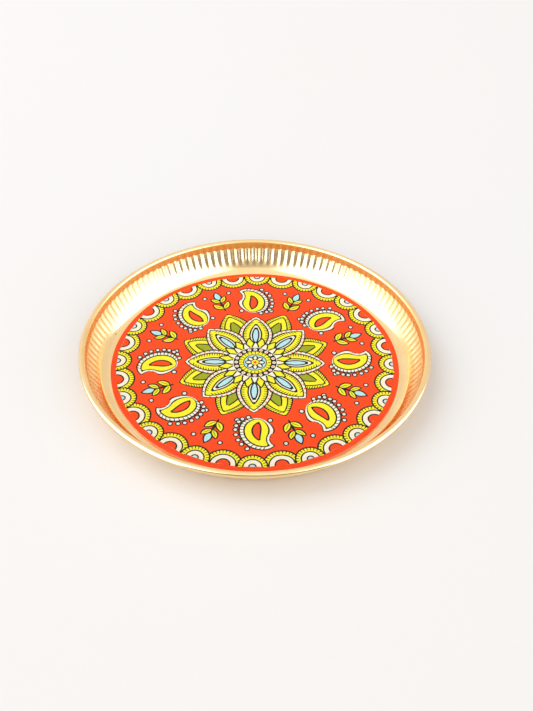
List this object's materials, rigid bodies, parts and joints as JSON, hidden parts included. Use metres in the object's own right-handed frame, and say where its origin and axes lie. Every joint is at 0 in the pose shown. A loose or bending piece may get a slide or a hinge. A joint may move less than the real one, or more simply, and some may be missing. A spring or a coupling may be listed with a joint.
{
  "type": "decorative plate",
  "caption": "Round fluted brass plate with a rolled lip, its flat floor covered by a printed and clear-coated disc.",
  "frame": {"origin": "centre of the flat underside of the plate's floor", "axes": "+Z is the plate's own axis and points up out of the well; +X and +Y lie in the floor and are alike, because the plate is round"},
  "size_m": [0.254, 0.254, 0.0227],
  "materials": {
    "brass": "polished, spun and pressed",
    "adhesive": "thin adhesive film",
    "print": "printed in red, yellow, cream and pale blue with dark outlines",
    "clear_coat": "clear high-gloss resin"
  },
  "bodies": {
    "root": {"plate_body": "brass", "adhesive_film": "adhesive", "printed_sheet": "print", "clear_coat": "clear_coat"}
  },
  "joints": []
}
